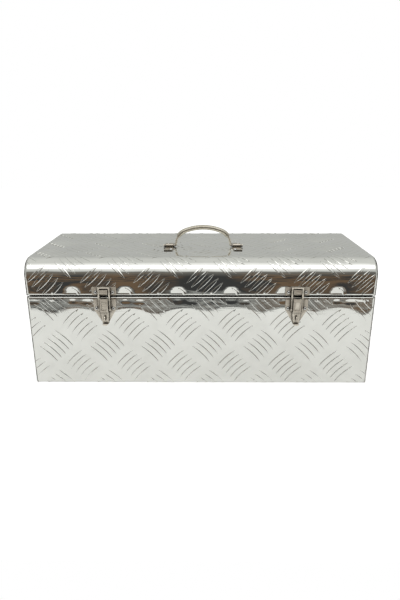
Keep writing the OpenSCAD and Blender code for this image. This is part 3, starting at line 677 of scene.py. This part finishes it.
bodyBead = beadCorners(beads["bodyEnd"], box["bead"])
lidBead = beadCorners(beads["lidEnd"], box["height"] - box["bead"])
foldBend, lidBend = box["foldRadius"] - box["bead"], box["lidRadius"] - box["bead"]
for side, tag in sides:
    makeBead("bodyBead_" + tag, side, bodyBead, [0, foldBend, foldBend, 0], -1, "body_weld_" + tag, "box")
    makeBead("lidBead_" + tag, side, lidBead, [0, lidBend, foldBend, 0], 1, "lid_weld_" + tag, "lid")
print("weld beads made")


# Rubber strip

seal = {"width": 8.0, "height": 2.6, "inset": 2.6, "corner": 5.0}


def sealShape(angle):
    # Rounded rectangle: r = (|cos|^6 + |sin|^6)^(-1/6)
    return (np.abs(np.cos(angle)) ** 6 + np.abs(np.sin(angle)) ** 6) ** (-1 / 6)


def makeSeal():
    # Closed path round the rim, half a strip in from the box's outline
    x = box["halfLength"] - seal["inset"] - seal["width"] / 2
    y = box["halfDepth"] - seal["inset"] - seal["width"] / 2
    corners = [(0, -y), (x, -y), (x, y), (-x, y), (-x, -y), (0, -y)]
    path = bentPath(corners, [0] + [seal["corner"]] * 4 + [0], 6.0, 6)
    place, normal = path["p"][:-1], path["n"][:-1]
    zeros = np.zeros(len(place))
    centre = np.column_stack([place, zeros + box["rim"] + seal["height"] / 2])
    across = np.column_stack([normal, zeros]) * seal["width"] / 2
    upward = np.column_stack([zeros, zeros, zeros + seal["height"] / 2])
    points, faces = sweepTube(centre, across, upward, zeros + 1, 20, sealShape, loop=True)
    strip = putMesh("sealStrip", points, faces, "box", metals["rubber"])
    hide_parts("rim_seal")


makeSeal()
print("rubber strip made")


# Handle

# The angles are degrees. A profile is the radius at each distance from the wire's or sleeve's end
handle = {
    "x": 4.0,
    "y": -16.0,
    "z": 223.2,
    "leg": 49.4,
    "rodEnd": 70.5,
    "arch": 32.6,
    "lean": 12.0,
    "legLength": 8.0,
    "crown": 22.0,
    "corner": 2.6,
    "wireProfile": [(0, 2.4), (0.35, 2.98), (1.3, 2.98), (1.6, 2.5), (1.65, 2.1)],
    "gripAngle": 32.0,
    "gripProfile": [(0, 2.3), (0.15, 3.1), (0.5, 3.8), (1.1, 4.1)],
}


def handleHalf():
    # Right half of the wire's centreline, crown first: an arc about a low centre, a shoulder arc
    # tangent to it, then a straight leg that leans in. The shoulder's radius makes the arch's height.
    # Gives the line and the number of the point where the sleeve ends
    lean, crown = math.radians(handle["lean"]), math.radians(handle["crown"])
    leg, arch = handle["legLength"], handle["arch"]
    foot = handle["leg"] - leg * math.sin(lean)
    k = (1 - math.cos(crown)) / math.sin(crown)
    rise = arch - leg * math.cos(lean) - foot * k
    r = rise / (math.cos(crown) - math.sin(lean) + 1 - math.cos(crown) - k * math.cos(lean))
    cx, cz = foot - r * math.cos(lean), leg * math.cos(lean) - r * math.sin(lean)
    big = r + cx / math.sin(crown)
    a = np.linspace(math.pi / 2, math.pi / 2 - crown, 16)
    b = np.linspace(math.pi / 2 - crown, lean, 22)[1:]
    crownArc = np.stack([big * np.cos(a), arch - big + big * np.sin(a)], -1)
    shoulderArc = np.stack([cx + r * np.cos(b), cz + r * np.sin(b)], -1)
    gripEnd = len(a) + int(np.argmin(np.abs(b - math.radians(handle["gripAngle"]))))
    return np.concatenate([crownArc, shoulderArc]), gripEnd


def handleTube(rightHalf, profile, count, shape=None, extra=0.0):
    # Tube along the half line and its mirror image, in the handle's upright plane. The radius
    # follows the profile from both ends, with a ring at each of its distances and at `extra`
    line = np.concatenate([(rightHalf * [-1, 1])[:0:-1], rightHalf])
    travel = distanceAlong(line)
    distances, radii = np.array(profile).T
    marks = np.append(distances, extra)
    rings = np.unique(np.concatenate([travel, marks, travel[-1] - marks]))
    line = np.column_stack([np.interp(rings, travel, line[:, 0]), np.interp(rings, travel, line[:, 1])])
    radius = np.interp(np.minimum(rings, rings[-1] - rings), distances, radii)
    ahead = np.gradient(line, axis=0)
    ahead /= np.linalg.norm(ahead, axis=1, keepdims=True)
    zeros = np.zeros(len(line))
    path = np.column_stack([line[:, 0] + handle["x"], zeros + handle["y"], line[:, 1] + handle["z"]])
    outward = np.column_stack([-ahead[:, 1], zeros, ahead[:, 0]])
    sideways = np.column_stack([zeros, zeros + 1, zeros])
    return sweepTube(path, outward, sideways, radius, count, shape)


def sleeveShape(angle):
    # The sleeve's edges meet underneath in a groove: 1 - 0.09 exp(-((angle - pi) / 0.12)^2)
    return 1 - 0.09 * np.exp(-((angle - math.pi) / 0.12) ** 2)


def makeHandle():
    # The wire with its turned-out, peened feet, and the rolled sleeve over its crown
    half, gripEnd = handleHalf()
    feet = [tuple(half[-1]), (handle["leg"], 0), (handle["rodEnd"], 0)]
    feet = bentPath(feet, [0, handle["corner"], 0], 2.0, 8)["p"][1:]
    points, faces = handleTube(np.concatenate([half, feet]), handle["wireProfile"], 16, extra=0.02)
    wire = putMesh("bailWire", points, faces, "handle", metals["nickel"], sharp=50)
    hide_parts("handle_bail")
    points, faces = handleTube(half[:gripEnd + 1], handle["gripProfile"], 40, sleeveShape)
    sleeve = putMesh("gripSleeve", points, faces, "handle", metals["gripMetal"], sharp=50)
    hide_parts("handle_grip")


makeHandle()
print("handle made")


# Latch rivets

# The profile runs from the bottom of the hollow over the crown to the shank: radius as a share of
# the head's, and depth behind the crown. The shank ends where the CAD rivet does
rivet = {
    "segments": 20,
    "profile": [(0.3, 2.4), (0.36, 0.2), (0.46, 0.0), (0.62, 0.03), (0.84, 0.28), (0.97, 0.66), (1.0, 0.95),
                (0.6, 1.0)],
    "shank": 0.55,
}


def latchRivets(node, body):
    # Two hollow rivets, at the two ends of the node's box: the profile turned about Y
    low, high = (np.array(corner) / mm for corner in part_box(node))
    r = (high[2] - low[2]) / 2
    share, deep = np.array(rivet["profile"] + [(rivet["shank"], high[1] - low[1])]).T
    angle = np.arange(rivet["segments"]) * 2 * np.pi / rivet["segments"]
    radius, deep = r * share[:, None], deep[:, None]
    rings = np.stack([radius * np.cos(angle), low[1] + deep + 0 * angle, radius * np.sin(angle)], -1)
    size = rings.shape[0] * rings.shape[1]
    middleZ = (low[2] + high[2]) / 2
    places = np.array([(low[0] + r, 0, middleZ), (high[0] - r, 0, middleZ)])
    points = rings.reshape(1, -1, 3) + places[:, None]
    faces = gridQuads(len(share), rivet["segments"], loopCols=True).tolist()
    faces += [list(range(rivet["segments"])), list(range(size - rivet["segments"], size))[::-1]]
    faces += [[i + size for i in face] for face in faces]
    piece = putMesh(node + "Turned", points, faces, body, metals["rivetMetal"], sharp=50)
    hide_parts(node)


# Pressed parts, from the CAD nodes

dress = {"merge": 1e-6, "flat": 1.0, "sharp": 32.0, "segments": 2}

# Slot, finish, width of the rounded edges and CAD nodes
dressed = [
    ("nickel", "nickel", 0.25, ["latch_base_left", "latch_base_right", "latch_lever_left",
                                "latch_lever_right", "draw_link_left", "draw_link_right", "keeper_left",
                                "keeper_right", "lever_pin_left", "lever_pin_right", "link_pin_left",
                                "link_pin_right"]),
    ("rivet", "rivetMetal", 0.22, ["handle_rivets", "hinge_rivets_body", "hinge_rivets_lid"]),
    ("steel", "zincSteel", 0.18, ["hinge_leaf_body", "hinge_leaf_lid", "hinge_pin", "stay_arm",
                                  "stay_stud_body", "stay_stud_lid"]),
    ("nickel", "saddleNickel", 0.25, ["handle_bracket_left", "handle_bracket_right"]),
]


def dressNode(node, body, material, width):
    # A copy of a CAD node: points merged, flat triangles joined, then edges rounded by `width`
    mesh = frame["nodes"][node].data.copy()
    mesh.name = node + "Dressed"
    work = bmesh.new()
    work.from_mesh(mesh)
    bmesh.ops.remove_doubles(work, verts=work.verts, dist=dress["merge"])
    flat = math.radians(dress["flat"])
    bmesh.ops.dissolve_limit(work, angle_limit=flat, verts=work.verts, edges=work.edges)
    work.to_mesh(mesh)
    work.free()
    mesh.materials.clear()
    mesh.materials.append(material)
    mesh.polygons.foreach_set("material_index", np.zeros(len(mesh.polygons), np.int32))
    mesh.polygons.foreach_set("use_smooth", np.ones(len(mesh.polygons), bool))
    mesh.set_sharp_from_angle(angle=math.radians(dress["sharp"]))
    piece = bpy.data.objects.new(node + "Dressed", mesh)
    bpy.context.scene.collection.objects.link(piece)
    bevel = piece.modifiers.new("edges", "BEVEL")
    bevel.width = width * mm
    bevel.segments = dress["segments"]
    bevel.limit_method = "ANGLE"
    bevel.angle_limit = math.radians(dress["sharp"])
    bevel.harden_normals = True
    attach(piece, body)
    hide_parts(node)


bodies = frame["record"]["behaviour"]["bodies"]
bodyOf = {node: name for name, nodes in bodies.items() for node in nodes}
for slotName, finishName, width, nodes in dressed:
    for node in nodes:
        dressNode(node, bodyOf[node], metals[finishName], width)
for node in ("base_rivets_left", "base_rivets_right", "keeper_rivets_left", "keeper_rivets_right"):
    latchRivets(node, bodyOf[node])
print("pressed and turned parts made")


# Stage

white = (1, 1, 1, 1)
floor = {"half": 3.0, "colour": (0.88, 0.88, 0.875, 1), "cameraLift": 0.6, "glossLift": 0.175}


def stageMesh(name, points, quads, material):
    # Points in metres become one smooth shaded piece of the stage
    mesh = bpy.data.meshes.new(name)
    mesh.from_pydata(np.asarray(points, float).reshape(-1, 3).tolist(), [], quads.tolist())
    mesh.polygons.foreach_set("use_smooth", np.ones(len(mesh.polygons), bool))
    mesh.materials.append(material)
    piece = bpy.data.objects.new(name, mesh)
    bpy.context.scene.collection.objects.link(piece)


def emptyMaterial(name):
    # A material with nothing but its output
    material = bpy.data.materials.new(name)
    material.use_nodes = True
    tree = material.node_tree
    tree.nodes.remove(tree.nodes["Principled BSDF"])
    return material, tree, tree.nodes["Material Output"].inputs[0]


def makeFloor():
    # Pale paper, lifted to white for the camera so that the shadow stays, and a little for gloss
    paper, tree, surface = emptyMaterial("palePaper")
    diffuse = addNode(tree, "ShaderNodeBsdfDiffuse", {"Color": floor["colour"]}).outputs[0]
    rays = addNode(tree, "ShaderNodeLightPath").outputs
    seen = mathNode(tree, "MULTIPLY", rays["Is Camera Ray"], floor["cameraLift"])
    gloss = mathNode(tree, "MULTIPLY", rays["Is Glossy Ray"], floor["glossLift"])
    strength = mathNode(tree, "ADD", seen, gloss)
    lift = addNode(tree, "ShaderNodeEmission", {"Strength": strength}).outputs[0]
    tree.links.new(addNode(tree, "ShaderNodeAddShader", {0: diffuse, 1: lift}).outputs[0], surface)
    half = floor["half"]
    corners = [(-half, -half, 0), (half, -half, 0), (half, half, 0), (-half, half, 0)]
    stageMesh("floor", corners, np.array([[0, 1, 2, 3]]), paper)


# The card lies in front of the box and curves up into a wall. Ranges are metres in X, Y or Z
card = {
    "front": -0.487,
    "wallY": -1.9,
    "wallTop": 1.15,
    "curve": 0.3,
    "lift": 0.001,
    "half": 2.4,
    "brown": (0.145, 0.098, 0.062, 1),
    "dark": (0.042, 0.043, 0.043, 1),
    "darkScale": 6.0,
    "darkX": 0.02,
    "darkRange": (0.2, 0.08),
    "grey": (0.37, 0.375, 0.36, 1),
    "greyScale": (9.0, 60.0, 1.0),
    "greyRange": (-0.61, -0.57),
    "high": (0.19, 0.185, 0.17, 1),
    "highRange": (0.25, 1.15),
}


def makeCardMaterial():
    # Brown with dark patches, darkest in the middle, streaked with grey near the front edge and
    # paler with height. The camera sees it white
    material, tree, surface = emptyMaterial("darkCard")
    place = addNode(tree, "ShaderNodeTexCoord").outputs["Object"]
    axis = addNode(tree, "ShaderNodeSeparateXYZ", {0: place}).outputs
    patch = rampNode(tree, noiseNode(tree, place, card["darkScale"], 3.0, 0.6), 0.47, 0.56)
    middle = mathNode(tree, "ABSOLUTE", mathNode(tree, "SUBTRACT", axis["X"], card["darkX"]))
    patch = mathNode(tree, "MAXIMUM", patch, rampNode(tree, middle, *card["darkRange"]), True)
    tone = mixNode(tree, patch, card["brown"], card["dark"])
    stretched = addNode(tree, "ShaderNodeVectorMath", {0: place, 1: card["greyScale"]},
                        operation="MULTIPLY").outputs[0]
    streak = rampNode(tree, noiseNode(tree, stretched, 1.0, 2.0), 0.38, 0.62)
    streak = mathNode(tree, "MULTIPLY", streak, rampNode(tree, axis["Y"], *card["greyRange"]))
    tone = mixNode(tree, streak, tone, card["grey"])
    tone = mixNode(tree, rampNode(tree, axis["Z"], *card["highRange"]), tone, card["high"])
    shown = addNode(tree, "ShaderNodeEmission", {"Color": tone, "Strength": 1.0}).outputs[0]
    blank = addNode(tree, "ShaderNodeEmission", {"Color": white, "Strength": 1.0}).outputs[0]
    seen = addNode(tree, "ShaderNodeLightPath").outputs["Is Camera Ray"]
    tree.links.new(addNode(tree, "ShaderNodeMixShader", {0: seen, 1: shown, 2: blank}).outputs[0], surface)
    return material


def makeCard():
    # A flat run, a curve and a wall, carried along X
    foot = (card["wallY"], card["lift"])
    corners = [(card["front"], card["lift"]), foot, (card["wallY"], card["wallTop"])]
    y, z = bentPath(corners, [0, card["curve"], 0], 0.2, 10)["p"].T[..., None]
    x = np.array([-card["half"], card["half"]])
    points = np.stack([x + 0 * y, y + 0 * x, z + 0 * x], -1)
    stageMesh("frontCard", points, gridQuads(len(y), 2), makeCardMaterial())


# The ranges are the ray's height and how closely it points towards the glow, both 1 at most
sky = {
    "horizon": (0.475, 0.48, 0.465, 1),
    "overhead": (0.66, 0.665, 0.64, 1),
    "riseRange": (0.35, 0.95),
    "glow": (1.0, 1.0, 0.985, 1),
    "glowTowards": (0.0, -0.485, 0.875),
    "glowRange": (0.82, 0.97),
}


def makeSky():
    # Grey at the horizon and paler overhead, with a soft glow round the lamp, so that its
    # reflection fades out. White to the camera
    world = bpy.data.worlds.new("softRoom")
    bpy.context.scene.world = world
    world.use_nodes = True
    tree = world.node_tree
    ray = addNode(tree, "ShaderNodeTexCoord").outputs["Generated"]
    up = addNode(tree, "ShaderNodeSeparateXYZ", {0: ray}).outputs["Z"]
    rise = rampNode(tree, up, *sky["riseRange"], "SMOOTHSTEP")
    tone = mixNode(tree, rise, sky["horizon"], sky["overhead"])
    glow = addNode(tree, "ShaderNodeVectorMath", {0: ray, 1: sky["glowTowards"]},
                   operation="DOT_PRODUCT").outputs["Value"]
    tone = mixNode(tree, rampNode(tree, glow, *sky["glowRange"], "SMOOTHSTEP"), tone, sky["glow"])
    seen = addNode(tree, "ShaderNodeLightPath").outputs["Is Camera Ray"]
    tone = mixNode(tree, seen, tone, white)
    tree.links.new(tone, tree.nodes["Background"].inputs["Color"])


# The softbox: its size and place in metres and its power in watts
lamp = {"size": (2.0, 0.6), "power": 3.8, "place": (0, -0.80, 1.35)}


def makeLamp():
    data = bpy.data.lights.new("softTop", "AREA")
    data.shape = "RECTANGLE"
    data.size, data.size_y = lamp["size"]
    data.energy = lamp["power"]
    softbox = bpy.data.objects.new("softTop", data)
    softbox.location = lamp["place"]
    bpy.context.scene.collection.objects.link(softbox)


# The photo's camera, fitted to the box's corners: the angles are radians
view = {
    "place": (0.0063, -0.8686, 0.4129),
    "pitch": 0.331,
    "yaw": -0.0095,
    "roll": -0.0022,
    "lens": 29.11,
    "sensor": 36,
    "near": 0.01,
}


def makeCamera():
    # Axes from the angles: ahead, right and above, the last two turned by the roll
    pitch, yaw, roll = view["pitch"], view["yaw"], view["roll"]
    ahead = np.array([math.sin(yaw) * math.cos(pitch), math.cos(yaw) * math.cos(pitch), -math.sin(pitch)])
    right = np.array([math.cos(yaw), -math.sin(yaw), 0])
    above = np.cross(right, ahead)
    axes = np.eye(4)
    axes[:3, 0] = math.cos(roll) * right + math.sin(roll) * above
    axes[:3, 1] = -math.sin(roll) * right + math.cos(roll) * above
    axes[:3, 2] = -ahead
    axes[:3, 3] = view["place"]
    lens = bpy.data.cameras.new("camera")
    lens.sensor_width = view["sensor"]
    lens.lens = view["lens"]
    lens.clip_start = view["near"]
    camera = bpy.data.objects.new("camera", lens)
    bpy.context.scene.collection.objects.link(camera)
    camera.matrix_world = axes.T.tolist()
    bpy.context.scene.camera = camera


makeFloor()
makeCard()
makeSky()
makeLamp()
makeCamera()
bpy.context.scene.view_settings.view_transform = "Standard"

print("scene made")
